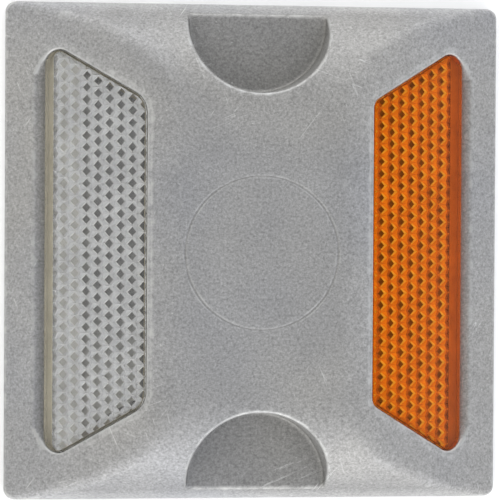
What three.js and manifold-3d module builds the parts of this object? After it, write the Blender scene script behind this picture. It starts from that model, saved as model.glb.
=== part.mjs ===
// Raised pavement marker (road stud): a die-cast aluminium body, 100 x 100 x 20 mm,
// with one clear and one amber reflector set back to back in its two sloped faces.
//
// Millimetres. +Z is up, Z = 0 is the road surface under the body, and the origin is
// the middle of the base. X runs from the clear reflector (-X) to the amber one (+X),
// along the direction of travel. Y runs along the reflectors. The two finger scoops
// are in the +Y and -Y ends.

import * as THREE from "three";
import { mergeVertices } from "three/addons/utils/BufferGeometryUtils.js";
import Module from "manifold-3d";

// ---------------------------------------------------------------- dimensions

// body
const LENGTH = 100; // along X
const WIDTH = 100; // along Y
const HEIGHT = 20;
const CORNER_R = 2.2; // plan corners
const RIM = 2.4; // upright edge under each sloped face
const TOP_HALF = 18.75; // half-width of the flat top, along X
const CROWN_R = 23.5; // rounding of the +Y and -Y ends
const CROWN_Y = 27.0; // where that rounding starts, from the middle
const CROWN_RIM = 1.8; // upright edge under the rounding

// finger scoops
const SCOOP_FLOOR = 9.2; // height of the scoop's floor above the road
const SCOOP_Y = 45.5; // centre of the half-round wall
const SCOOP_R = 14.0; // radius at the floor
const SCOOP_R_TOP = 14.65; // radius at the top, with the mould's draft

// ring line on the flat top, left by the round mould insert
const RING_R = 14.95;
const RING_W = 0.5;
const RING_D = 0.3;

// sloped faces
const SLOPE = Math.atan2(HEIGHT - RIM, LENGTH / 2 - TOP_HALF); // 29.4 degrees
const SEAT_X = 32.43; // middle of a reflector, along X
const SEAT_Z = RIM + (LENGTH / 2 - SEAT_X) * Math.tan(SLOPE);

// reflector, drawn in the sloped face's own frame: u down the slope, v along Y,
// w square to the face, with w = 0 on the face
const LENS_U = 11.3; // half-width, up and down the slope
const LENS_LONG = 42.0; // half-length of the lower side
const LENS_SHORT = 29.7; // half-length of the upper side
const LENS_R_LOW = 3.2; // lower corners
const LENS_R_HIGH = 4.5; // upper corners
const LENS_FRONT = -0.4; // front of the lens, just under the face
const LENS_EDGE = 0.6; // rounding of the lens's edge
const LENS_BACK = -3.0; // back of the lens's rim
const PRISM_BACK = -1.9; // base of the moulded prisms, inside that rim
const PRISM_MARGIN = 2.0; // plain border round the prisms
const GAP = 0.35; // clearance between touching pieces

// pocket for a reflector
const POCKET_GAP = 0.4; // round the lens
const POCKET_D = -4.4; // floor of the pocket
const LEDGE_X = 44.2; // level ledge below the lens's lower side, out to here
const LEDGE_Z = RIM + (LENGTH / 2 - LEDGE_X) * Math.tan(SLOPE);
const LEDGE_HALF = 40.2; // its half-length
const LEDGE_R = 2.5; // its corners
const FLOOR_T = 1.9; // metal under the pocket

// carrier plate and seal under the lens
const CARRIER_TOP = LENS_BACK - 0.3;
const CARRIER_T = 0.8;
const CARRIER_MARGIN = 2.2;
const SEAL_W_IN = 1.8; // seal's inner edge, in from the lens's outline

// fixing screws, two to a reflector, driven from the hollow underside
const SCREW_U = -2.5;
const SCREW_V = 20;
const BOSS_R = 2.6;
const BOSS_BORE_R = 1.55;
const BOSS_END = -5.9;
const HOLE_R = 3.0; // clearance hole in the casting
const SCREW_HEAD_R = 3.7;
const SCREW_HEAD_H = 1.7;
const SCREW_SHANK_R = 1.2;
const SCREW_TIP = -3.9;
const RECESS = 0.55; // arm of the cross recess, half-width
const RECESS_L = 2.0;
const RECESS_D = 1.0;

// hollow underside
const ROOF_T = 3.5; // metal under the flat top
const WALL_T = 3.2; // metal under the rounded ends
const HOLLOW_X = 38.5; // how far the hollow reaches along X
const SCOOP_T = 2.8; // metal round a scoop
const RIB_T = 2.6;
const RIB_Y = 13.5; // the two ribs that run along X

// ---------------------------------------------------------------- finishes

const aluminium = new THREE.MeshStandardMaterial({ color: 0xa3a29d, roughness: 0.55, metalness: 0.85 });
const clearLens = new THREE.MeshStandardMaterial({ color: 0xcfd2d0, roughness: 0.12, metalness: 0.0 });
const amberLens = new THREE.MeshStandardMaterial({ color: 0xd86a0c, roughness: 0.12, metalness: 0.0 });
const carrierGrey = new THREE.MeshStandardMaterial({ color: 0x5c5c5a, roughness: 0.6, metalness: 0.0 });
const sealTan = new THREE.MeshStandardMaterial({ color: 0x9a8f7c, roughness: 0.9, metalness: 0.0 });
const zincSteel = new THREE.MeshStandardMaterial({ color: 0xb4b3ad, roughness: 0.35, metalness: 1.0 });

// ---------------------------------------------------------------- helpers

const wasm = await Module();
wasm.setup();

function solid(geometry, matrix) {
  const g = geometry.clone();
  if (matrix) g.applyMatrix4(matrix);
  g.deleteAttribute("normal");
  g.deleteAttribute("uv");
  const m = mergeVertices(g, 1e-4);
  return new wasm.Manifold(
    new wasm.Mesh({
      numProp: 3,
      vertProperties: new Float32Array(m.attributes.position.array),
      triVerts: new Uint32Array(m.index.array),
    }),
  );
}

function shapeOf(manifold) {
  const mesh = manifold.getMesh();
  const g = new THREE.BufferGeometry();
  const stride = mesh.numProp;
  const n = mesh.vertProperties.length / stride;
  const pos = new Float32Array(n * 3);
  for (let i = 0; i < n; i++)
    for (let k = 0; k < 3; k++) pos[3 * i + k] = mesh.vertProperties[stride * i + k];
  g.setAttribute("position", new THREE.BufferAttribute(pos, 3));
  g.setIndex(new THREE.BufferAttribute(new Uint32Array(mesh.triVerts), 1));
  const flat = g.toNonIndexed();
  flat.computeVertexNormals();
  return flat;
}

function named(name, manifold, material) {
  const mesh = new THREE.Mesh(shapeOf(manifold), material);
  mesh.name = name;
  return mesh;
}

// a closed outline with its corners rounded, each corner with a radius of its own
function rounded(points, radii, steps) {
  const out = [];
  const n = points.length;
  for (let i = 0; i < n; i++) {
    const p = new THREE.Vector2(...points[i]);
    const a = new THREE.Vector2(...points[(i + n - 1) % n]).sub(p).normalize();
    const b = new THREE.Vector2(...points[(i + 1) % n]).sub(p).normalize();
    const half = Math.acos(THREE.MathUtils.clamp(a.dot(b), -1, 1)) / 2;
    const r = radii[i];
    const t = r / Math.tan(half);
    const c = p.clone().add(a.clone().add(b).normalize().multiplyScalar(r / Math.sin(half)));
    const s = p.clone().add(a.clone().multiplyScalar(t)).sub(c);
    const e = p.clone().add(b.clone().multiplyScalar(t)).sub(c);
    const a0 = Math.atan2(s.y, s.x);
    let da = Math.atan2(e.y, e.x) - a0;
    while (da > Math.PI) da -= 2 * Math.PI;
    while (da < -Math.PI) da += 2 * Math.PI;
    for (let k = 0; k <= steps; k++) {
      const q = a0 + (da * k) / steps;
      out.push(new THREE.Vector2(c.x + r * Math.cos(q), c.y + r * Math.sin(q)));
    }
  }
  return new THREE.Shape(out);
}

// the reflector's outline, set in (inset > 0) or out (inset < 0) all round
function lensOutline(inset, steps = 5) {
  const slant = Math.atan2(LENS_LONG - LENS_SHORT, 2 * LENS_U);
  const uLow = LENS_U - inset;
  const uHigh = -LENS_U + inset;
  const mid = (LENS_LONG + LENS_SHORT) / 2 - inset / Math.cos(slant);
  const at = (u) => mid + u * Math.tan(slant);
  const low = Math.max(0.4, LENS_R_LOW - inset);
  const high = Math.max(0.4, LENS_R_HIGH - inset);
  return rounded(
    [
      [uHigh, -at(uHigh)],
      [uLow, -at(uLow)],
      [uLow, at(uLow)],
      [uHigh, at(uHigh)],
    ],
    [high, low, low, high],
    steps,
  );
}

// a plate of a given outline between two heights
function plate(shape, low, high) {
  const g = new THREE.ExtrudeGeometry(shape, { depth: high - low, bevelEnabled: false, curveSegments: 24 });
  g.translate(0, 0, low);
  return g;
}

// a bar of an (x, z) section, running along Y
function alongY(points, half) {
  const s = new THREE.Shape(points.map(([x, z]) => new THREE.Vector2(x, z)));
  const g = new THREE.ExtrudeGeometry(s, { depth: 2 * half, bevelEnabled: false });
  g.rotateX(Math.PI / 2); // (x, z, depth) -> (x, -depth, z)
  g.translate(0, half, 0);
  return g;
}

// a bar of a (y, z) section, running along X
function alongX(points, half) {
  const s = new THREE.Shape(points.map(([y, z]) => new THREE.Vector2(y, z)));
  const g = new THREE.ExtrudeGeometry(s, { depth: 2 * half, bevelEnabled: false });
  g.rotateX(Math.PI / 2);
  g.rotateZ(Math.PI / 2); // section's first axis along Y, depth along X
  g.translate(-half, 0, 0);
  return g;
}

function block(x0, x1, y0, y1, z0, z1) {
  const g = new THREE.BoxGeometry(x1 - x0, y1 - y0, z1 - z0);
  g.translate((x0 + x1) / 2, (y0 + y1) / 2, (z0 + z1) / 2);
  return g;
}

// a round bar along Z, radius r0 at z0 and r1 at z1
function round(r0, r1, z0, z1, sides) {
  const g = new THREE.CylinderGeometry(r1, r0, z1 - z0, sides);
  g.rotateX(Math.PI / 2);
  g.translate(0, 0, (z0 + z1) / 2);
  return g;
}

// the frame of a reflector's seat: side +1 is the amber end, -1 the clear end
function seatMatrix(side) {
  const tilt = new THREE.Matrix4().makeRotationY(SLOPE).setPosition(SEAT_X, 0, SEAT_Z);
  const turn = new THREE.Matrix4().makeRotationZ(side > 0 ? 0 : Math.PI);
  return turn.multiply(tilt);
}

// ---------------------------------------------------------------- body casting


function crownSection(r, top, bottom, half, steps) {
  // one side, from the base up to the flat, then mirrored
  const side = [];
  side.push([half, 0]);
  side.push([half, bottom]);
  const y1 = CROWN_Y + Math.sqrt(r * r - (bottom + 0.25 - (HEIGHT - CROWN_R)) ** 2);
  const a1 = Math.atan2(bottom + 0.25 - (HEIGHT - CROWN_R), y1 - CROWN_Y);
  const a2 = Math.asin(Math.min(1, (top - (HEIGHT - CROWN_R)) / r));
  for (let i = 0; i <= steps; i++) {
    const a = a1 + ((a2 - a1) * i) / steps;
    side.push([CROWN_Y + r * Math.cos(a), HEIGHT - CROWN_R + r * Math.sin(a)]);
  }
  const other = side.map(([y, z]) => [-y, z]).reverse();
  return side.concat(other);
}

function makeBody() {
  const hx = LENGTH / 2;
  const hy = WIDTH / 2;
  const slopes = alongY(
    [
      [-hx, 0],
      [hx, 0],
      [hx, RIM],
      [TOP_HALF, HEIGHT],
      [-TOP_HALF, HEIGHT],
      [-hx, RIM],
    ],
    hy + 5,
  );
  const ends = alongX(crownSection(CROWN_R, HEIGHT, CROWN_RIM, hy, 14), hx + 5);
  const plan = plate(
    rounded(
      [
        [-hx, -hy],
        [hx, -hy],
        [hx, hy],
        [-hx, hy],
      ],
      [CORNER_R, CORNER_R, CORNER_R, CORNER_R],
      5,
    ),
    0,
    HEIGHT + 1,
  );
  let body = solid(slopes).intersect(solid(ends)).intersect(solid(plan));

  // hollow underside, with a rib down the middle and two across it
  const t = Math.tan(SLOPE);
  const drop = (FLOOR_T - POCKET_D) / Math.cos(SLOPE);
  const under = (x) => RIM + (hx - x) * t - drop;
  const kink = 18.6;
  const hollowSlopes = alongY(
    [
      [-HOLLOW_X, -1],
      [HOLLOW_X, -1],
      [HOLLOW_X, under(HOLLOW_X)],
      [kink, under(kink)],
      [kink - 1.6, HEIGHT - ROOF_T],
      [-kink + 1.6, HEIGHT - ROOF_T],
      [-kink, under(kink)],
      [-HOLLOW_X, under(HOLLOW_X)],
    ],
    hy,
  );
  const inner = CROWN_R - WALL_T;
  const base = CROWN_Y + Math.sqrt(inner * inner - (HEIGHT - CROWN_R) ** 2);
  const side = [[base, -1]];
  const a1 = Math.atan2(CROWN_R - HEIGHT, base - CROWN_Y);
  const a2 = Math.asin((HEIGHT - ROOF_T - HEIGHT + CROWN_R) / inner);
  for (let i = 0; i <= 8; i++) {
    const a = a1 + ((a2 - a1) * i) / 8;
    side.push([CROWN_Y + inner * Math.cos(a), HEIGHT - CROWN_R + inner * Math.sin(a)]);
  }
  const hollowEnds = alongX(side.concat(side.map(([y, z]) => [-y, z]).reverse()), hx);
  let hollow = solid(hollowSlopes).intersect(solid(hollowEnds));
  hollow = hollow
    .subtract(solid(block(-RIB_T / 2, RIB_T / 2, -hy, hy, -2, HEIGHT)))
    .subtract(solid(block(-hx, hx, RIB_Y - RIB_T / 2, RIB_Y + RIB_T / 2, -2, HEIGHT)))
    .subtract(solid(block(-hx, hx, -RIB_Y - RIB_T / 2, -RIB_Y + RIB_T / 2, -2, HEIGHT)));

  for (const s of [1, -1]) {
    // metal kept round each scoop, then the scoop itself
    const skinLow = SCOOP_FLOOR - SCOOP_T;
    const rOut = SCOOP_R_TOP + SCOOP_T;
    const skin = round(rOut, rOut, skinLow, HEIGHT + 1, 40);
    skin.translate(0, s * SCOOP_Y, 0);
    hollow = hollow.subtract(solid(skin));
    const y0 = s * SCOOP_Y;
    const y1 = s * (hy + 4);
    hollow = hollow.subtract(solid(block(-rOut, rOut, Math.min(y0, y1), Math.max(y0, y1), skinLow, HEIGHT + 1)));

    const bowl = round(SCOOP_R, SCOOP_R_TOP, SCOOP_FLOOR, HEIGHT + 0.01, 48);
    bowl.translate(0, y0, 0);
    const mouth = alongY(
      [
        [-SCOOP_R, SCOOP_FLOOR],
        [SCOOP_R, SCOOP_FLOOR],
        [SCOOP_R_TOP, HEIGHT + 0.01],
        [-SCOOP_R_TOP, HEIGHT + 0.01],
      ],
      4,
    );
    mouth.translate(0, s * (SCOOP_Y + 4), 0);
    body = body.subtract(solid(bowl).add(solid(mouth)));
  }
  body = body.subtract(hollow);

  for (const s of [1, -1]) {
    const m = seatMatrix(s);
    const pocket = plate(lensOutline(-POCKET_GAP), POCKET_D, 3);
    body = body.subtract(solid(pocket, m));
    const x0 = LENGTH / 2 - 10;
    const ledge = plate(
      rounded(
        [
          [x0, -LEDGE_HALF],
          [LEDGE_X + 2, -LEDGE_HALF],
          [LEDGE_X + 2, LEDGE_HALF],
          [x0, LEDGE_HALF],
        ],
        [0.5, LEDGE_R, LEDGE_R, 0.5],
        5,
      ),
      LEDGE_Z,
      LEDGE_Z + 6,
    );
    ledge.rotateZ(s > 0 ? 0 : Math.PI);
    body = body.subtract(solid(ledge));
    for (const v of [SCREW_V, -SCREW_V]) {
      const hole = round(HOLE_R, HOLE_R, POCKET_D - FLOOR_T - 3, POCKET_D + 1, 20);
      hole.translate(SCREW_U, v, 0);
      body = body.subtract(solid(hole, m));
    }
  }

  // ring line on the flat top
  const outer = new THREE.Shape().absarc(0, 0, RING_R + RING_W / 2, 0, 2 * Math.PI, false);
  outer.holes.push(new THREE.Path().absarc(0, 0, RING_R - RING_W / 2, 0, 2 * Math.PI, true));
  const ring = new THREE.ExtrudeGeometry(outer, { depth: RING_D + 1, bevelEnabled: false, curveSegments: 48 });
  ring.translate(0, 0, HEIGHT - RING_D);
  body = body.subtract(solid(ring));
  return named("body_casting", body, aluminium);
}

// ---------------------------------------------------------------- one reflector

function makeLens(name, material) {
  const steps = 5;
  const face = new THREE.ExtrudeGeometry(lensOutline(0, steps), {
    depth: 1.2,
    bevelEnabled: true,
    bevelThickness: LENS_EDGE,
    bevelSize: LENS_EDGE,
    bevelOffset: -LENS_EDGE,
    bevelSegments: 3,
    curveSegments: 8,
  });
  face.translate(0, 0, LENS_FRONT - LENS_EDGE - 1.2);
  const skirt = plate(lensOutline(0, steps), LENS_BACK, LENS_FRONT - LENS_EDGE - 0.2);
  const field = plate(lensOutline(PRISM_MARGIN, steps), LENS_BACK - 1, PRISM_BACK);
  return named(name, solid(face).add(solid(skirt)).subtract(solid(field)), material);
}

function makeCarrier(name) {
  let m = solid(plate(lensOutline(CARRIER_MARGIN + GAP), CARRIER_TOP - CARRIER_T, CARRIER_TOP));
  for (const v of [SCREW_V, -SCREW_V]) {
    const boss = round(BOSS_R, BOSS_R, BOSS_END, CARRIER_TOP - CARRIER_T / 2, 20);
    boss.translate(SCREW_U, v, 0);
    m = m.add(solid(boss));
    const bore = round(BOSS_BORE_R, BOSS_BORE_R, BOSS_END - 1, SCREW_TIP + 0.3, 16);
    bore.translate(SCREW_U, v, 0);
    m = m.subtract(solid(bore));
  }
  return named(name, m, carrierGrey);
}

function makeSeal(name) {
  const m = solid(plate(lensOutline(0.1), POCKET_D + GAP, CARRIER_TOP)).subtract(
    solid(plate(lensOutline(SEAL_W_IN), POCKET_D - 1, CARRIER_TOP + 1)),
  );
  return named(name, m, sealTan);
}

function makeScrew(name) {
  // head down, tip up, along the seat's own w axis
  const top = POCKET_D - FLOOR_T - 0.3; // underside of the head
  const profile = [
    [0, top - SCREW_HEAD_H],
    [SCREW_HEAD_R - 0.9, top - SCREW_HEAD_H],
    [SCREW_HEAD_R - 0.25, top - SCREW_HEAD_H + 0.45],
    [SCREW_HEAD_R, top - 0.6],
    [SCREW_HEAD_R, top],
    [SCREW_SHANK_R, top],
    [SCREW_SHANK_R, SCREW_TIP - 0.9],
    [0.35, SCREW_TIP],
    [0, SCREW_TIP],
  ].map(([r, z]) => new THREE.Vector2(r, z));
  const g = new THREE.LatheGeometry(profile, 24);
  g.rotateX(Math.PI / 2);
  let m = solid(g);
  const low = top - SCREW_HEAD_H;
  m = m
    .subtract(solid(block(-RECESS_L, RECESS_L, -RECESS / 2, RECESS / 2, low - 1, low + RECESS_D)))
    .subtract(solid(block(-RECESS / 2, RECESS / 2, -RECESS_L, RECESS_L, low - 1, low + RECESS_D)));
  return named(name, m, zincSteel);
}

function makeReflector(colour, lensMaterial, side) {
  const seat = new THREE.Group();
  seat.position.set(SEAT_X, 0, SEAT_Z);
  seat.rotation.y = SLOPE;
  seat.add(makeLens(`${colour}_lens`, lensMaterial));
  seat.add(makeCarrier(`${colour}_carrier_plate`));
  seat.add(makeSeal(`${colour}_lens_seal`));
  for (const [i, v] of [SCREW_V, -SCREW_V].entries()) {
    const screw = makeScrew(`${colour}_fixing_screw_${i + 1}`);
    screw.position.set(SCREW_U, v, 0);
    seat.add(screw);
  }
  const end = new THREE.Group();
  end.rotation.z = side > 0 ? 0 : Math.PI;
  end.add(seat);
  return end;
}

// ---------------------------------------------------------------- assembly

const group = new THREE.Group();
group.add(makeBody());
group.add(makeReflector("clear", clearLens, -1));
group.add(makeReflector("amber", amberLens, 1));

export default group;
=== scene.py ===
"""Raised pavement marker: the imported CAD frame, dressed for rendering.

Lengths in the shape code are millimetres in the row frame (+Z up, Z = 0 the road, X across
the reflectors, Y along them); meshes are written in metres.
"""

import math

import bmesh
import bpy
import numpy as np
from mathutils import Matrix, Vector


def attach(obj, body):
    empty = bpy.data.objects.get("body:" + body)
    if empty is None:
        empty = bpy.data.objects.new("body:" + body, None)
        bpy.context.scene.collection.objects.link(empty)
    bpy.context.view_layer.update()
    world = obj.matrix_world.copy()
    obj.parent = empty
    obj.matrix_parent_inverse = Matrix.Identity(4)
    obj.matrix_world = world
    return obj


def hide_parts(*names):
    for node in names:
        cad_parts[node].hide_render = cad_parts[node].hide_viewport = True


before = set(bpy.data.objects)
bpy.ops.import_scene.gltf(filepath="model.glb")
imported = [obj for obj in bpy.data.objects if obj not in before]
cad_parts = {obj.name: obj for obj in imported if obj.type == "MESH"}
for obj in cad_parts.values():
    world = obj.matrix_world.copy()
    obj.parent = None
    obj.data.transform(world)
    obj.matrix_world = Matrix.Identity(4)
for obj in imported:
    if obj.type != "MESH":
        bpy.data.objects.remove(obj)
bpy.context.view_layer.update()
MM = 0.001

# ------------------------------------------------------------------ dimensions, as in the CAD
HALF = 50.0
HEIGHT = 20.0
RIM = 2.4
TOP_HALF = 18.75
CROWN_R = 23.5
CROWN_Y = 27.4
CROWN_Z = HEIGHT - CROWN_R
SLOPE = math.atan2(HEIGHT - RIM, HALF - TOP_HALF)
SEAT_X = 32.43
SEAT_Z = RIM + (HALF - SEAT_X) * math.tan(SLOPE)
SCOOP_FLOOR, SCOOP_Y, SCOOP_R, SCOOP_R_TOP = 9.2, 45.5, 13.75, 14.4
RING_R = 14.95
LENS_U, LENS_LONG, LENS_SHORT = 11.3, 42.0, 29.7
LENS_R_LOW = 3.2
LENS_R_HIGH = {-1: 4.5, 1: 2.0}  # inner corners of the clear and of the amber reflector
LENS_FRONT, LENS_BACK = -0.25, -3.0
POCKET_GAP, POCKET_D = 0.04, -4.4
LEDGE_X, LEDGE_HALF, LEDGE_R = 44.2, 41.0, 4.2
CARRIER_TOP = -3.3
SCREW_U, SCREW_V = -2.5, 20.0
SLANT = math.atan2(LENS_LONG - LENS_SHORT, 2 * LENS_U)


def seat_matrix(side):
    """Seat frame (u down the slope, v along Y, w off the face) to the row frame, in millimetres."""
    tilt = Matrix.Translation((SEAT_X, 0, SEAT_Z)) @ Matrix.Rotation(SLOPE, 4, "Y")
    return (Matrix.Rotation(0 if side > 0 else math.pi, 4, "Z")) @ tilt


# ------------------------------------------------------------------ body as one rounded solid
def both(a, b, r):
    """Intersection of two solids' distances, its edge rounded to radius r."""
    ua, ub = np.maximum(a + r, 0), np.maximum(b + r, 0)
    return np.minimum(-r, np.maximum(a, b)) + np.sqrt(ua * ua + ub * ub)


def either(a, b, r):
    """Union of two solids' distances, its corner filled to radius r."""
    return -both(-a, -b, r)


def corner(a, b, k, r):
    """Intersection of two straight edges whose normals' cosine is k, its corner a true arc of radius r."""
    p, q, m = a + r, b + r, 1 - k * k
    inside = (p - k * q > 0) & (q - k * p > 0)
    arc = np.sqrt(np.maximum(p * p + q * q - 2 * k * p * q, 0) / m) - r
    return np.where(inside, arc, np.maximum(a, b))


def outline_uv(u, v, grow, r_high):
    """Distance outside the reflector's rounded outline, grown by grow."""
    v = np.abs(v)
    mid = (LENS_LONG + LENS_SHORT) / 2
    low = u - (LENS_U + grow)
    high = -u - (LENS_U + grow)
    side = (v - mid - u * math.tan(SLANT)) * math.cos(SLANT) - grow
    k = math.sin(SLANT)
    return np.maximum(corner(low, side, -k, LENS_R_LOW + grow), corner(high, side, k, r_high + grow))


def body_distance(x, y, z):
    r_high = np.where(x > 0, LENS_R_HIGH[1], LENS_R_HIGH[-1])
    x, y = np.abs(x), np.abs(y)
    ca, sa = math.cos(SLOPE), math.sin(SLOPE)
    u = (x - SEAT_X) * ca - (z - SEAT_Z) * sa
    w = (x - SEAT_X) * sa + (z - SEAT_Z) * ca
    yc = np.maximum(y - CROWN_Y, 0)
    ends = np.sqrt(yc * yc + (z - CROWN_Z) ** 2) - CROWN_R
    plan = both(x - HALF, y - HALF, 2.2)
    d = both(w, ends, 1.6)
    d = both(d, plan, 0.5)
    d = both(d, -z, 0.35)

    # finger scoop
    yy = np.maximum(SCOOP_Y - y, 0)
    r = np.sqrt(x * x + yy * yy)
    draft = (SCOOP_R_TOP - SCOOP_R) / (HEIGHT - SCOOP_FLOOR)
    wall = (r - SCOOP_R - (z - SCOOP_FLOOR) * draft) / math.sqrt(1 + draft * draft)
    scoop = both(wall, SCOOP_FLOOR - z, 0.7)
    d = both(d, -scoop, 0.55)

    # reflector pocket, with the sloping step below it
    pocket = both(outline_uv(u, y, POCKET_GAP, r_high), POCKET_D - w, 0.3)
    d = both(d, -pocket, 0.15)
    rim = (outline_uv(u, y, POCKET_GAP, r_high) - 2.0 * (w + 0.38)) / math.sqrt(5)
    d = both(d, -np.maximum(rim, -1.0 - w), 0.35)
    tilt = math.radians(21)
    top = RIM + (HALF - LEDGE_X) * math.tan(SLOPE) + 0.42 * np.maximum(y - 35.0, 0)
    low = top - z + (LEDGE_X - x) * -math.tan(tilt)
    step = both(both(low * math.cos(tilt), y - LEDGE_HALF, LEDGE_R), 41.2 - x, 0.3)
    d = both(d, -step, 0.35)

    # hollow underside
    under = w - (POCKET_D - 1.9)
    step = ((x - 17.0) * 3.3 + (z - 16.5) * 1.6) / math.hypot(3.3, 1.6)
    hollow = both(either(under, both(step, z - 16.5, 0.8), 0.8), x - 38.5, 1.0)
    inner = np.sqrt(yc * yc + (z - CROWN_Z) ** 2) - (CROWN_R - 3.2)
    hollow = both(hollow, inner, 1.0)
    skin = both(r - (SCOOP_R_TOP + 2.8), (SCOOP_FLOOR - 2.8) - z, 0.8)
    hollow = both(hollow, -skin, 0.8)
    hollow = both(hollow, 1.3 - x, 0.8)
    hollow = both(hollow, 1.3 - np.abs(y - 13.5), 0.8)
    d = both(d, -hollow, 0.4)

    # clearance holes for the screw bosses
    hole = np.sqrt((u - SCREW_U) ** 2 + (y - SCREW_V) ** 2) - 3.0
    hole = np.maximum(hole, np.maximum(w + 2.5, -9.5 - w))
    d = both(d, -hole, 0.25)

    # ring line
    rho = np.sqrt(x * x + y * y) - RING_R
    d = d + np.where(z > 15, 0.14 * np.exp(-((rho / 0.21) ** 2)), 0.0)
    return d


def gradient(f, p, e=0.01):
    x, y, z = p.T
    return np.stack(
        [
            f(x + e, y, z) - f(x - e, y, z),
            f(x, y + e, z) - f(x, y - e, z),
            f(x, y, z + e) - f(x, y, z - e),
        ],
        1,
    ) / (2 * e)


def settle(f, p, rounds=6, cap=0.25):
    """Moves points onto the surface."""
    for _ in range(rounds):
        g = gradient(f, p)
        s = f(*p.T) / np.maximum((g * g).sum(1), 0.05)
        step = s[:, None] * g
        n = np.linalg.norm(step, axis=1, keepdims=True)
        p = p - step * np.minimum(1, cap / np.maximum(n, 1e-9))
    return p


def surface_net(f, half_x, half_y, z0, z1, h):
    """Quads over the surface f = 0, on a grid mirrored in Y."""
    xs = (np.arange(int(half_x / h) + 1) + 0.5) * h
    ys = (np.arange(int(half_y / h) + 1) + 0.5) * h
    zs = np.arange(z0, z1 + h, h)
    gx = np.concatenate([-xs[::-1], xs])
    q = f(gx[:, None, None], ys[None, :, None], zs[None, None, :])
    q = np.concatenate([q[:, ::-1], q], 1)
    gy = np.concatenate([-ys[::-1], ys])
    inside = q < 0
    corner = [(i, j, k) for i in (0, 1) for j in (0, 1) for k in (0, 1)]
    nx, ny, nz = inside.shape
    count = np.zeros((nx - 1, ny - 1, nz - 1), np.int8)
    for i, j, k in corner:
        count += inside[i : nx - 1 + i, j : ny - 1 + j, k : nz - 1 + k]
    active = (count > 0) & (count < 8)
    cells = np.argwhere(active)
    index = -np.ones(active.shape, np.int64)
    index[tuple(cells.T)] = np.arange(len(cells))
    total = np.zeros((len(cells), 3))
    hits = np.zeros(len(cells))
    axes = [gx, gy, zs]
    for a in corner:
        for ax in range(3):
            if a[ax]:
                continue
            b = list(a)
            b[ax] = 1
            pa, pb = cells + a, cells + b
            fa, fb = q[tuple(pa.T)], q[tuple(pb.T)]
            cross = (fa < 0) != (fb < 0)
            t = np.where(cross, fa / np.where(cross, fa - fb, 1), 0)
            wa = np.stack([axes[i][pa[:, i]] for i in range(3)], 1)
            wb = np.stack([axes[i][pb[:, i]] for i in range(3)], 1)
            total += np.where(cross[:, None], wa + (wb - wa) * t[:, None], 0)
            hits += cross
    verts = total / hits[:, None]
    quads = []
    for ax in range(3):
        lo = [slice(None)] * 3
        hi = [slice(None)] * 3
        lo[ax], hi[ax] = slice(0, -1), slice(1, None)
        a, b = inside[tuple(lo)], inside[tuple(hi)]
        e = np.argwhere(a != b)
        o1, o2 = [i for i in range(3) if i != ax]
        e = e[(e[:, o1] > 0) & (e[:, o2] > 0) & (e[:, o1] < active.shape[o1]) & (e[:, o2] < active.shape[o2])]
        ring = []
        for s, t in ((0, 0), (1, 0), (1, 1), (0, 1)):
            c = e.copy()
            c[:, o1] -= 1 - s
            c[:, o2] -= 1 - t
            ring.append(index[tuple(c.T)])
        ring = np.stack(ring, 1)
        out = inside[tuple(e.T)]  # solid on the low side: face looks along +axis
        flip = out if ax != 1 else ~out
        ring = np.where(flip[:, None], ring, ring[:, ::-1])
        quads.append(ring)
    return verts, np.concatenate(quads)


def new_object(name, verts, faces, normals=None):
    me = bpy.data.meshes.new(name)
    me.from_pydata([tuple(v) for v in verts], [], [tuple(int(i) for i in f) for f in faces])
    me.update()
    ob = bpy.data.objects.new(name, me)
    bpy.context.scene.collection.objects.link(ob)
    return ob


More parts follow.
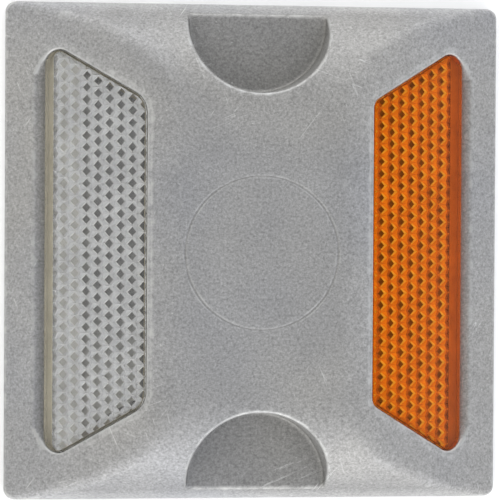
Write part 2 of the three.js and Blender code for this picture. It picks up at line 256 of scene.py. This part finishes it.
def make_body():
    verts, quads = surface_net(body_distance, 51.2, 51.2, -0.83, 20.9, 0.46)
    verts = settle(body_distance, verts)
    ob = new_object("cast_body", verts, quads)
    me = ob.data
    bm = bmesh.new()
    bm.from_mesh(me)
    band = []
    for e in bm.edges:
        ok = True
        for v in e.verts:
            r = math.hypot(v.co.x, v.co.y)
            if v.co.z < 19.0 or not 14.2 < r < 16.2:
                ok = False
        if ok:
            band.append(e)
    bmesh.ops.subdivide_edges(bm, edges=band, cuts=3, use_grid_fill=True)
    bmesh.ops.recalc_face_normals(bm, faces=bm.faces)
    bm.to_mesh(me)
    bm.free()
    n = len(me.vertices)
    co = np.empty(n * 3, np.float32)
    me.vertices.foreach_get("co", co)
    p = settle(body_distance, co.reshape(-1, 3).astype(float), 4)
    g = gradient(body_distance, p, 0.03)
    g /= np.linalg.norm(g, axis=1, keepdims=True)
    # bend of the surface: positive on raised edges, negative in corners
    e = 0.35
    bend = np.zeros(n)
    for ax in range(3):
        for s in (1, -1):
            q = p.copy()
            q[:, ax] += s * e
            bend += body_distance(*q.T)
    bend = (bend - 6 * body_distance(*p.T)) / (e * e)
    me.vertices.foreach_set("co", (p * MM).astype(np.float32).ravel())
    # painted shade mask: darkens the scoop floors and the foot of their walls
    yy = np.maximum(SCOOP_Y - np.abs(p[:, 1]), 0)
    r = np.sqrt(p[:, 0] ** 2 + yy * yy)
    low = np.clip((SCOOP_FLOOR + 3.0 - p[:, 2]) / 2.0, 0, 1) * (p[:, 2] > SCOOP_FLOOR - 0.6)
    scoop_floor_shade = np.clip((SCOOP_R + 0.7 - r) / 0.4, 0, 1) * low
    # lighter foot: rubbed wear plus painted light on the steep faces turned to ±Y near the ground
    foot_wear_and_light = np.clip((np.abs(g[:, 1]) - 0.55) / 0.36, 0, 1) * np.clip((9.0 - p[:, 2]) / 3.0, 0, 1) * np.clip((np.abs(p[:, 1]) - 41.5) / 5.0, 0, 1)
    at = me.attributes.new("foot_wear_and_light", "FLOAT", "POINT")
    at.data.foreach_set("value", foot_wear_and_light.astype(np.float32))
    at = me.attributes.new("scoop_floor_shade", "FLOAT", "POINT")
    at.data.foreach_set("value", scoop_floor_shade.astype(np.float32))
    at = me.attributes.new("bend", "FLOAT", "POINT")
    at.data.foreach_set("value", np.clip(bend, -2.5, 2.5).astype(np.float32))
    me.shade_smooth()
    me.update()
    me.normals_split_custom_set_from_vertices([tuple(v) for v in g])
    return ob


# ------------------------------------------------------------------ reflectors
def outline(inset, r_high, low_inset=None, steps=8):
    """Points round the reflector's outline, set in by inset, as (u, v)."""
    low_inset = inset if low_inset is None else low_inset
    lo_u, hi_u = LENS_U - low_inset, -LENS_U + inset
    mid = (LENS_LONG + LENS_SHORT) / 2 - inset / math.cos(SLANT)
    at = lambda u: mid + u * math.tan(SLANT)
    pts = [(hi_u, -at(hi_u)), (lo_u, -at(lo_u)), (lo_u, at(lo_u)), (hi_u, at(hi_u))]
    rad = [max(0.5, r_high - inset)] + [max(0.5, LENS_R_LOW - low_inset)] * 2 + [max(0.5, r_high - inset)]
    out = []
    for i, p in enumerate(pts):
        p = Vector(p)
        a = (Vector(pts[i - 1]) - p).normalized()
        b = (Vector(pts[(i + 1) % 4]) - p).normalized()
        half = math.acos(max(-1, min(1, a.dot(b)))) / 2
        c = p + (a + b).normalized() * (rad[i] / math.sin(half))
        s = p + a * (rad[i] / math.tan(half)) - c
        e = p + b * (rad[i] / math.tan(half)) - c
        a0 = math.atan2(s.y, s.x)
        da = math.atan2(e.y, e.x) - a0
        da = (da + math.pi) % (2 * math.pi) - math.pi
        for k in range(steps + 1):
            q = a0 + da * k / steps
            out.append((c.x + rad[i] * math.cos(q), c.y + rad[i] * math.sin(q)))
    return out


def loft(name, rings):
    """A closed solid through rings of points with equal counts, capped at both ends."""
    n = len(rings[0])
    verts = [p for r in rings for p in r]
    faces = []
    for i in range(len(rings) - 1):
        for k in range(n):
            a, b = i * n + k, i * n + (k + 1) % n
            faces.append((a, b, b + n, a + n))
    faces.append(tuple(range(n))[::-1])
    faces.append(tuple(range((len(rings) - 1) * n, len(rings) * n)))
    return new_object(name, verts, faces)


PITCH_V, PITCH_U = 2.36, 2.52  # prism spacing along a column and from column to column
WINDOW_U, WINDOW_V = 0.92, 0.93  # half diagonals of a prism's flat end
PRISM_TOP, PRISM_END = -1.25, -2.05
LIP_UP = 0.3


def prism_block(name, top_w, u0, v0, size, lip, smeared):
    """The moulded field: blunt diamond-ended prisms on a staggered lattice, closed by a plane above."""
    he = (PITCH_U**2 + PITCH_V**2 / 4) / (2 * PITCH_U)
    hn = (PITCH_U**2 - PITCH_V**2 / 4) / (2 * PITCH_U)
    hv = PITCH_V / 2
    verts, index, faces, kinds = [], {}, [], []
    rng = np.random.default_rng(11)

    def vert(u, v, w):
        key = (round(u * 500), round(v * 500), round(w * 500))
        if key not in index:
            index[key] = len(verts)
            verts.append((u, v, w))
        return index[key]

    def add(kind, *ids):
        faces.append(ids)
        kinds.append(kind)

    cols, rows = 5, 19
    for c in range(-cols, cols + 1):
        for r in range(-rows, rows + 1):
            cu, cv = u0 + c * PITCH_U, v0 + (r + (0.5 if c % 2 else 0.0)) * PITCH_V
            j = rng.uniform(-0.06, 0.06, 6)
            wu, wv = WINDOW_U * size + j[0], WINDOW_V * size + j[1]
            mu, mv = cu + j[2] * 0.5, cv + j[3] * 0.5
            R, T = vert(mu + wu, mv, PRISM_END), vert(mu, mv + wv, PRISM_END)
            L, B = vert(mu - wu, mv, PRISM_END), vert(mu, mv - wv, PRISM_END)
            w1 = PRISM_END + LIP_UP
            R1, T1 = vert(mu + wu + lip * 1.4, mv, w1), vert(mu, mv + wv + 0.6 * lip, w1)
            B1 = vert(mu, mv - wv - 0.6 * lip, w1)
            E, W = vert(cu + he, cv, PRISM_TOP), vert(cu - he, cv, PRISM_TOP)
            NE, NW = vert(cu + hn, cv + hv, PRISM_TOP), vert(cu - hn, cv + hv, PRISM_TOP)
            SE, SW = vert(cu + hn, cv - hv, PRISM_TOP), vert(cu - hn, cv - hv, PRISM_TOP)
            # face kinds pick the material: 0 window, 1 wall, 2 lip in a lighter copy as a painted glint, 3 rib in a
            # copy painted lighter or darker for its facing, 4 the side toward -u in a darker copy as painted shade, 6
            # window under the smeared compound
            add(6 if cu > smeared else 0, R, T, L, B)
            add(2, R, R1, T1, T)
            add(2, B, B1, R1, R)
            add(1, R1, E, NE)
            add(1, R1, NE, T1)
            add(3, T1, NE, NW)
            add(3, T, T1, NW)
            add(4, T, NW, L)
            add(4, L, NW, W)
            add(4, L, W, SW)
            add(4, L, SW, B)
            add(3, B, SW, B1)
            add(3, B1, SW, SE)
            add(1, B1, SE, R1)
            add(1, R1, SE, E)
    bm = bmesh.new()
    bv = [bm.verts.new(v) for v in verts]
    for f, k in zip(faces, kinds):
        bm.faces.new([bv[i] for i in f]).material_index = k
    edge = [e for e in bm.edges if e.is_boundary]
    got = bmesh.ops.extrude_edge_only(bm, edges=edge)
    for v in got["geom"]:
        if isinstance(v, bmesh.types.BMVert):
            v.co.z = top_w
    bmesh.ops.holes_fill(bm, edges=[e for e in bm.edges if e.is_boundary], sides=0)
    bmesh.ops.recalc_face_normals(bm, faces=bm.faces)
    open_edges = sum(e.is_boundary or not e.is_manifold for e in bm.edges)
    me = bpy.data.meshes.new(name)
    bm.to_mesh(me)
    bm.free()
    ob = bpy.data.objects.new(name, me)
    bpy.context.scene.collection.objects.link(ob)
    print("prism block: faces", len(me.polygons), "open edges", open_edges)
    return ob


def boolean(ob, other, how):
    m = ob.modifiers.new("b", "BOOLEAN")
    m.operation = how
    m.object = other
    m.solver = "EXACT"
    dg = bpy.context.evaluated_depsgraph_get()
    me = bpy.data.meshes.new_from_object(ob.evaluated_get(dg))
    ob.modifiers.clear()
    old = ob.data
    ob.data = me
    bpy.data.meshes.remove(old)
    bpy.data.objects.remove(other)


def place(ob, side, sharp=25):
    m = seat_matrix(side)
    ob.data.transform(Matrix.Scale(MM, 4) @ m)
    ob.data.update()
    ob.data.shade_smooth()
    ob.data.set_sharp_from_angle(angle=math.radians(sharp))


def make_lens(name, side, mats, u0, v0, size, lip, border):
    rings = []
    rh = LENS_R_HIGH[side]

    def ring(inset, w, low=None):
        rings.append([(u, v, w) for u, v in outline(inset, rh, low)])

    ring(0.0, LENS_BACK)
    ring(0.0, LENS_FRONT - 0.3)
    steps = 6
    for k in range(1, steps + 1):
        a = math.pi / 2 * k / steps
        q = 1 - math.cos(a)
        ring(0.14 * q, LENS_FRONT - 0.3 + 0.3 * math.sin(a), 0.55 * q)
    lens = loft(name, rings)
    for f in lens.data.polygons:
        if len(f.vertices) == 4 and f.index < len(rings[0]) and f.normal.x < 0.9:
            f.material_index = 5
    recess = loft("recess", [[(u, v, w) for u, v in outline(0.5, rh, border)] for w in (-6.0, -1.05)])
    block = prism_block("block", -0.9, u0, v0, size, lip, 4.0 if side < 0 else 99.0)
    trim = loft("trim", [[(u, v, w) for u, v in outline(0.55, rh, border + 0.05)] for w in (-6.0, -0.95)])
    # the rim's underside and inner wall are wetted by the sealing compound
    lens.data.polygons[len(lens.data.polygons) - 2].material_index = 5
    for f in recess.data.polygons:
        f.material_index = 5
    for o in (lens, recess, block, trim):
        for m in mats:
            o.data.materials.append(m)
    boolean(lens, recess, "DIFFERENCE")
    boolean(block, trim, "INTERSECT")
    boolean(lens, block, "UNION")
    place(lens, side)
    bm = bmesh.new()
    bm.from_mesh(lens.data)
    bad = sum(e.is_boundary or not e.is_manifold for e in bm.edges)
    bm.free()
    used = sorted({q.material_index for q in lens.data.polygons})
    print(name, "faces", len(lens.data.polygons), "open edges", bad, "slots", used, len(lens.data.materials))
    return lens


# ------------------------------------------------------------------ materials
class Graph:
    """Short hand for building one material's nodes."""

    def __init__(self, name):
        self.mat = bpy.data.materials.new(name)
        self.mat.use_nodes = True
        self.tree = self.mat.node_tree
        self.tree.nodes.clear()
        self.out = self.node("OutputMaterial")
        self.co = None

    def node(self, kind, **inputs):
        n = self.tree.nodes.new("ShaderNode" + kind)
        for k, v in inputs.items():
            n.inputs[k.replace("_", " ")].default_value = v
        return n

    def link(self, a, b):
        self.tree.links.new(a, b)

    def where(self):
        if self.co is None:
            self.co = self.node("TexCoord").outputs["Object"]
        return self.co

    def noise(self, scale, detail=2.0, rough=0.5, stretch=None, spin=0.0):
        n = self.node("TexNoise")
        n.inputs["Scale"].default_value = scale
        n.inputs["Detail"].default_value = detail
        n.inputs["Roughness"].default_value = rough
        src = self.where()
        if stretch or spin:
            for key, value in (("Rotation", (0, 0, spin)), ("Scale", stretch or (1, 1, 1))):
                m = self.node("Mapping")
                m.inputs[key].default_value = value
                self.link(src, m.inputs["Vector"])
                src = m.outputs[0]
        self.link(src, n.inputs["Vector"])
        return n.outputs["Fac"]

    def ramp(self, src, *stops):
        n = self.node("ValToRGB")
        els = n.color_ramp.elements
        while len(els) < len(stops):
            els.new(0.5)
        for e, (pos, c) in zip(els, stops):
            e.position = pos
            e.color = (*c, 1) if isinstance(c, tuple) else (c, c, c, 1)
        self.link(src, n.inputs[0])
        return n.outputs[0]

    def mix(self, kind, fac, a, b):
        n = self.node("Mix")
        n.data_type = "RGBA"
        n.blend_type = kind
        f, x, y = n.inputs[0], n.inputs[6], n.inputs[7]
        for s, v in ((f, fac), (x, a), (y, b)):
            if hasattr(v, "links"):
                self.link(v, s)
            elif isinstance(v, tuple):
                s.default_value = (*v, 1)
            else:
                s.default_value = v
        return n.outputs[2]

    def math(self, op, a, b=None, c=None):
        n = self.node("Math")
        n.operation = op
        for s, v in zip(n.inputs, (a, b, c)):
            if v is None:
                continue
            if hasattr(v, "links"):
                self.link(v, s)
            else:
                s.default_value = v
        return n.outputs[0]

    def bump(self, height, distance, strength=1.0, normal=None):
        n = self.node("Bump")
        n.inputs["Strength"].default_value = strength
        n.inputs["Distance"].default_value = distance
        self.link(height, n.inputs["Height"])
        if normal is not None:
            self.link(normal, n.inputs["Normal"])
        return n.outputs[0]

    def done(self, shader):
        self.link(shader, self.out.inputs["Surface"])
        return self.mat


def cast_metal():
    """Blasted aluminium casting: sandy grain, mottling, scratches, rubbed edges lightened further by a painted
    highlight, painted shade in the corners and on the scoop floors, and a foot lightened by rubbing and painted
    light.
    """
    g = Graph("cast_aluminium")
    p = g.node("BsdfPrincipled")
    p.inputs["Metallic"].default_value = METAL
    bend = g.node("Attribute")
    bend.attribute_name = "bend"
    bend = bend.outputs["Fac"]
    grain = g.noise(2600, 2.0, 0.6)
    sand = g.noise(1600, 3.0, 0.65)
    blotch = g.noise(90, 4.0, 0.6)
    broad = g.noise(24, 2.0, 0.5)
    colour = g.ramp(blotch, (0.30, (BASE * 0.93, BASE * 0.93, BASE * 0.93)), (0.70, (BASE * 1.06, BASE * 1.06, BASE * 1.06)))
    tint = g.ramp(broad, (0.35, (0.96, 0.965, 0.985)), (0.65, (1.03, 1.015, 0.98)))
    colour = g.mix("MULTIPLY", 1.0, colour, tint)
    colour = g.mix("MULTIPLY", 1.0, colour, g.ramp(sand, (0.30, 0.74), (0.50, 1.0), (0.72, 1.20)))
    colour = g.mix("MULTIPLY", 1.0, colour, g.ramp(grain, (0.32, 0.80), (0.68, 1.17)))
    # rubbed edges lighter, with a painted highlight on the raised edges; painted shade darkens the corners
    edge = g.ramp(g.math("MULTIPLY_ADD", g.noise(420, 3.0, 0.6), 0.9, g.math("MULTIPLY_ADD", bend, 0.22, -0.28)), (0.32, 0.0), (0.62, 1.0))
    colour = g.mix("MIX", edge, colour, (BASE * 1.36, BASE * 1.36, BASE * 1.33))
    corner_shade = g.ramp(g.math("MULTIPLY_ADD", bend, -0.30, -0.02), (0.10, 0.0), (0.7, 0.55))
    colour = g.mix("MIX", corner_shade, colour, (BASE * 0.62, BASE * 0.61, BASE * 0.58))
    # foot faces turned to ±Y lightened: rubbed wear plus painted light
    foot_wear_light_mask = g.node("Attribute")
    foot_wear_light_mask.attribute_name = "foot_wear_and_light"
    foot_wear_light_mask = g.math("MULTIPLY", foot_wear_light_mask.outputs["Fac"], g.ramp(g.noise(70, 4.0, 0.6), (0.3, 0.7), (0.7, 1.0)))
    colour = g.mix("MIX", foot_wear_light_mask, colour, g.mix("MULTIPLY", 1.0, colour, (1.42, 1.42, 1.43)))
    # painted shade on the scoop floors
    scoop_floor_shade = g.node("Attribute")
    scoop_floor_shade.attribute_name = "scoop_floor_shade"
    scoop_shade_amount = g.math("MULTIPLY", scoop_floor_shade.outputs["Fac"], g.ramp(g.noise(120, 4.0, 0.6), (0.3, 0.7), (0.7, 1.0)))
    colour = g.mix("MULTIPLY", scoop_shade_amount, colour, (0.86, 0.855, 0.84))
    # fine pale scratches in a few directions
    marks = None
    for spin, scale in ((0.35, 40), (1.2, 55), (2.2, 46), (2.75, 70)):
        lines = g.ramp(g.noise(scale, 1.0, 0.4, (1.0, 26.0, 1.0), spin), (0.672, 0.0), (0.682, 1.0), (0.692, 0.0))
        gate = g.ramp(g.noise(38 + 9 * spin, 2.0, 0.5), (0.58, 0.0), (0.68, 1.0))
        lines = g.math("MULTIPLY", lines, gate)
        marks = lines if marks is None else g.math("MAXIMUM", marks, lines)
    marks = g.math("MULTIPLY", marks, 0.8)
    colour = g.mix("MIX", marks, colour, (BASE * 2.1, BASE * 2.1, BASE * 2.05))
    # a few pale dust specks
    speck = g.ramp(g.noise(900, 2.0, 0.6), (0.735, 0.0), (0.775, 0.6))
    colour = g.mix("MIX", speck, colour, (BASE * 1.8, BASE * 1.8, BASE * 1.75))
    g.link(colour, p.inputs["Base Color"])
    rough = g.ramp(blotch, (0.3, 0.50), (0.7, 0.60))
    rough = g.mix("MIX", edge, rough, (0.42, 0.42, 0.42))
    g.link(rough, p.inputs["Roughness"])
    n = g.bump(sand, 0.00007, 0.55)
    n = g.bump(grain, 0.00003, 0.5, n)
    n = g.bump(marks, 0.00003, 0.4, n)
    g.link(n, p.inputs["Normal"])
    return g.done(p.outputs[0])


def acrylic(name, colour, sheen=(1.0, 1.0, 1.0)):
    """Clear moulded plastic; light and shadow pass through it as through a tinted window."""
    g = Graph(name)
    p = g.node("BsdfPrincipled")
    p.inputs["Base Color"].default_value = (*colour, 1)
    p.inputs["IOR"].default_value = 1.49
    p.inputs["Specular Tint"].default_value = (*sheen, 1)
    p.inputs["Transmission Weight"].default_value = 1.0
    haze = g.ramp(g.noise(60, 3.0, 0.6), (0.35, 0.035), (0.75, 0.11))
    g.link(haze, p.inputs["Roughness"])
    g.link(g.bump(g.noise(140, 2.0, 0.5), 0.00002, 0.3), p.inputs["Normal"])
    t = g.node("BsdfTransparent")
    t.inputs["Color"].default_value = (*colour, 1)
    mix = g.node("MixShader")
    g.link(g.node("LightPath").outputs["Is Shadow Ray"], mix.inputs["Fac"])
    g.link(p.outputs[0], mix.inputs[1])
    g.link(t.outputs[0], mix.inputs[2])
    return g.done(mix.outputs[0])


def prism_wall(name, dark, light, rough=0.45, metal=0.0):
    """Silvered back of the moulded prisms, slightly uneven from prism to prism; its lip, rib and shade copies carry
    painted highlight, light and shade.
    """
    g = Graph(name)
    p = g.node("BsdfPrincipled")
    p.inputs["Metallic"].default_value = metal
    p.inputs["Roughness"].default_value = rough
    colour = g.ramp(g.noise(210, 3.0, 0.6), (0.3, dark), (0.7, light))
    g.link(colour, p.inputs["Base Color"])
    g.link(g.bump(g.noise(1500, 2.0, 0.5), 0.00002, 0.3), p.inputs["Normal"])
    return g.done(p.outputs[0])


def carrier_plastic():
    """Moulded grey plastic plate, faintly mottled."""
    g = Graph("carrier_plastic")
    p = g.node("BsdfPrincipled")
    p.inputs["Roughness"].default_value = 0.6
    colour = g.ramp(g.noise(160, 3.0, 0.6), (0.3, CARRIER_DARK), (0.7, CARRIER_LIGHT))
    # tan compound smeared over the plate along its lower side
    sep = g.node("SeparateXYZ")
    g.link(g.where(), sep.inputs[0])
    reach = g.math("ABSOLUTE", sep.outputs["X"])
    smear = g.math("MULTIPLY_ADD", g.noise(150, 3.0, 0.6), 0.006, reach)
    colour = g.mix("MIX", g.ramp(smear, (0.0370, 0.0), (0.0408, 1.0)), colour, (0.80, 0.77, 0.68))
    end = g.math("MULTIPLY_ADD", g.noise(130, 3.0, 0.6), 0.010, g.math("MULTIPLY", sep.outputs["Y"], -1.0))
    g.link(g.mix("MIX", g.ramp(end, (0.017, 0.0), (0.031, 0.62)), colour, (0.78, 0.76, 0.70)), p.inputs["Base Color"])
    g.link(g.bump(g.noise(1200, 3.0, 0.6), 0.00003, 0.5), p.inputs["Normal"])
    return g.done(p.outputs[0])


def seal_rubber():
    """Tan sealing compound with a granular skin."""
    g = Graph("seal_rubber")
    p = g.node("BsdfPrincipled")
    colour = g.ramp(g.noise(380, 4.0, 0.65), (0.3, (0.30, 0.25, 0.17)), (0.7, (0.47, 0.41, 0.30)))
    g.link(colour, p.inputs["Base Color"])
    g.link(g.ramp(g.noise(260, 2.0), (0.3, 0.65), (0.7, 0.85)), p.inputs["Roughness"])
    g.link(g.bump(g.noise(1400, 3.0, 0.6), 0.00005, 0.6), p.inputs["Normal"])
    return g.done(p.outputs[0])


def screw_steel():
    """Zinc-plated steel with a brushed, slightly yellow cast."""
    g = Graph("screw_steel")
    p = g.node("BsdfPrincipled")
    p.inputs["Metallic"].default_value = 1.0
    colour = g.ramp(g.noise(300, 3.0, 0.6), (0.3, (0.50, 0.49, 0.44)), (0.7, (0.66, 0.65, 0.60)))
    g.link(colour, p.inputs["Base Color"])
    g.link(g.ramp(g.noise(700, 3.0, 0.6), (0.3, 0.26), (0.7, 0.44)), p.inputs["Roughness"])
    g.link(g.bump(g.noise(2200, 2.0, 0.5), 0.00002, 0.4), p.inputs["Normal"])
    return g.done(p.outputs[0])


def floor_paint():
    """Plain pale matt board."""
    g = Graph("floor_white")
    p = g.node("BsdfPrincipled")
    p.inputs["Roughness"].default_value = 0.95
    g.link(g.ramp(g.noise(40, 3.0, 0.6), (0.3, 0.945), (0.7, 0.955)), p.inputs["Base Color"])
    return g.done(p.outputs[0])


BASE, METAL = 0.278, 0.6
CARRIER_DARK, CARRIER_LIGHT = 0.27, 0.33
clear_set = [
    acrylic("clear_acrylic", (0.96, 0.965, 0.955)),
    prism_wall("clear_prism_wall", (0.49, 0.49, 0.50), (0.58, 0.58, 0.585)),
    # painted glint: a lighter copy of the wall on the lip facets
    prism_wall("clear_prism_lip_painted_glint", (0.66, 0.66, 0.655), (0.80, 0.80, 0.79), 0.3),
    # painted light: a slightly lighter copy of the wall on the rib facets
    prism_wall("clear_prism_rib_painted_light", (0.52, 0.52, 0.52), (0.60, 0.60, 0.595)),
    # painted shade: a darker copy of the wall on the facets toward -u
    prism_wall("clear_prism_shade", (0.46, 0.46, 0.475), (0.56, 0.56, 0.565)),
    prism_wall("clear_lens_edge", (0.33, 0.295, 0.215), (0.45, 0.41, 0.31)),
    prism_wall("clear_smeared_end", (0.29, 0.285, 0.265), (0.44, 0.43, 0.40)),  # compound crept over the outer prisms
]
amber_set = [
    acrylic("amber_acrylic", (0.93, 0.41, 0.03), (1.0, 0.30, 0.03)),
    prism_wall("amber_prism_wall", (0.80, 0.37, 0.12), (0.96, 0.52, 0.16)),
    # painted glint: a lighter copy of the wall on the lip facets
    prism_wall("amber_prism_lip_painted_glint", (0.97, 0.84, 0.50), (0.99, 0.97, 0.66), 0.3),
    # painted shade: a darker copy of the wall on the rib facets
    prism_wall("amber_prism_rib_painted_shade", (0.62, 0.30, 0.12), (0.80, 0.42, 0.16)),
    # painted shade: a darker copy of the wall on the facets toward -u
    prism_wall("amber_prism_shade", (0.34, 0.12, 0.045), (0.54, 0.21, 0.07)),
    prism_wall("amber_lens_edge", (0.36, 0.11, 0.05), (0.52, 0.18, 0.07)),
    prism_wall("amber_smeared_end", (0.50, 0.26, 0.12), (0.62, 0.34, 0.15)),
]

# ------------------------------------------------------------------ pieces
body = make_body()
clear = make_lens("clear_prism_lens", -1, clear_set, -0.14, -0.44, 0.98, 0.2, 1.75)
amber = make_lens("amber_prism_lens", 1, amber_set, -1.15, 0.33, 0.78, 0.46, 2.8)
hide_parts("body_casting")
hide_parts("clear_lens")
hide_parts("amber_lens")
for o in (body, clear, amber):
    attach(o, "root")
body.data.materials.append(cast_metal())
carrier = carrier_plastic()
seal = seal_rubber()
steel = screw_steel()
for n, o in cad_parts.items():
    m = carrier if "carrier" in n else seal if "seal" in n else steel if "screw" in n else None
    if m:
        o.data.materials.clear()
        o.data.materials.append(m)

# ------------------------------------------------------------------ stage, light, camera
scene = bpy.context.scene
scene.view_settings.view_transform = "Standard"
scene.cycles.glossy_bounces = 8
scene.cycles.transmission_bounces = 12
scene.cycles.max_bounces = 16

me = bpy.data.meshes.new("floor")
me.from_pydata([(-3, -3, 0), (3, -3, 0), (3, 3, 0), (-3, 3, 0)], [], [(0, 1, 2, 3)])
floor = bpy.data.objects.new("floor", me)
scene.collection.objects.link(floor)
floor.data.materials.append(floor_paint())

# soft light tent: bright walls, brightest at the two ends, dimmer roof
ROOF, WALLS, ENDS = 1.22, 2.14, 1.3
w = bpy.data.worlds.new("studio")
scene.world = w
w.use_nodes = True
nt = w.node_tree
bg = nt.nodes["Background"]
tc = nt.nodes.new("ShaderNodeTexCoord")
sp = nt.nodes.new("ShaderNodeSeparateXYZ")
nt.links.new(tc.outputs["Generated"], sp.inputs[0])
rp = nt.nodes.new("ShaderNodeValToRGB")
nt.links.new(sp.outputs["Z"], rp.inputs[0])
els = rp.color_ramp.elements
els[0].position, els[0].color = 0.35, (WALLS, WALLS, WALLS, 1)
els[1].position, els[1].color = 0.92, (ROOF, ROOF, ROOF, 1)
yy = nt.nodes.new("ShaderNodeMath")
yy.operation = "POWER"
ay = nt.nodes.new("ShaderNodeMath")
ay.operation = "ABSOLUTE"
nt.links.new(sp.outputs["Y"], ay.inputs[0])
nt.links.new(ay.outputs[0], yy.inputs[0])
yy.inputs[1].default_value = 4.0
gain = nt.nodes.new("ShaderNodeMath")
gain.operation = "MULTIPLY_ADD"
nt.links.new(yy.outputs[0], gain.inputs[0])
gain.inputs[1].default_value = ENDS
side = nt.nodes.new("ShaderNodeMath")
side.operation = "MULTIPLY_ADD"
nt.links.new(sp.outputs["Y"], side.inputs[0])
side.inputs[1].default_value = -0.17
side.inputs[2].default_value = 0.66
nt.links.new(side.outputs[0], gain.inputs[2])
warm = nt.nodes.new("ShaderNodeMapRange")
nt.links.new(sp.outputs["X"], warm.inputs["Value"])
warm.inputs["From Min"].default_value = -1.0
hue = nt.nodes.new("ShaderNodeMix")
hue.data_type = "RGBA"
hue.inputs[6].default_value = (1.01, 1.0, 0.965, 1)
hue.inputs[7].default_value = (0.975, 1.0, 1.06, 1)
nt.links.new(warm.outputs[0], hue.inputs[0])
tone = nt.nodes.new("ShaderNodeMix")
tone.data_type = "RGBA"
tone.blend_type = "MULTIPLY"
tone.inputs[0].default_value = 1.0
nt.links.new(rp.outputs[0], tone.inputs[6])
nt.links.new(hue.outputs[2], tone.inputs[7])
nt.links.new(tone.outputs[2], bg.inputs["Color"])
nt.links.new(gain.outputs[0], bg.inputs["Strength"])

cam = bpy.data.cameras.new("camera")
cam.sensor_width = 36
cam.lens = 2000 / 500 * 36
cam.clip_start, cam.clip_end = 0.01, 20
co = bpy.data.objects.new("camera", cam)
scene.collection.objects.link(co)
rx, ry, rz = -0.013, -0.1009, 0.0058
rot = Matrix.Rotation(rz, 3, "Z") @ Matrix.Rotation(ry, 3, "Y") @ Matrix.Rotation(rx, 3, "X")
co.matrix_world = Matrix.Translation((-0.0414371, 0.0053861, 0.4057157)) @ rot.to_4x4()
scene.camera = co
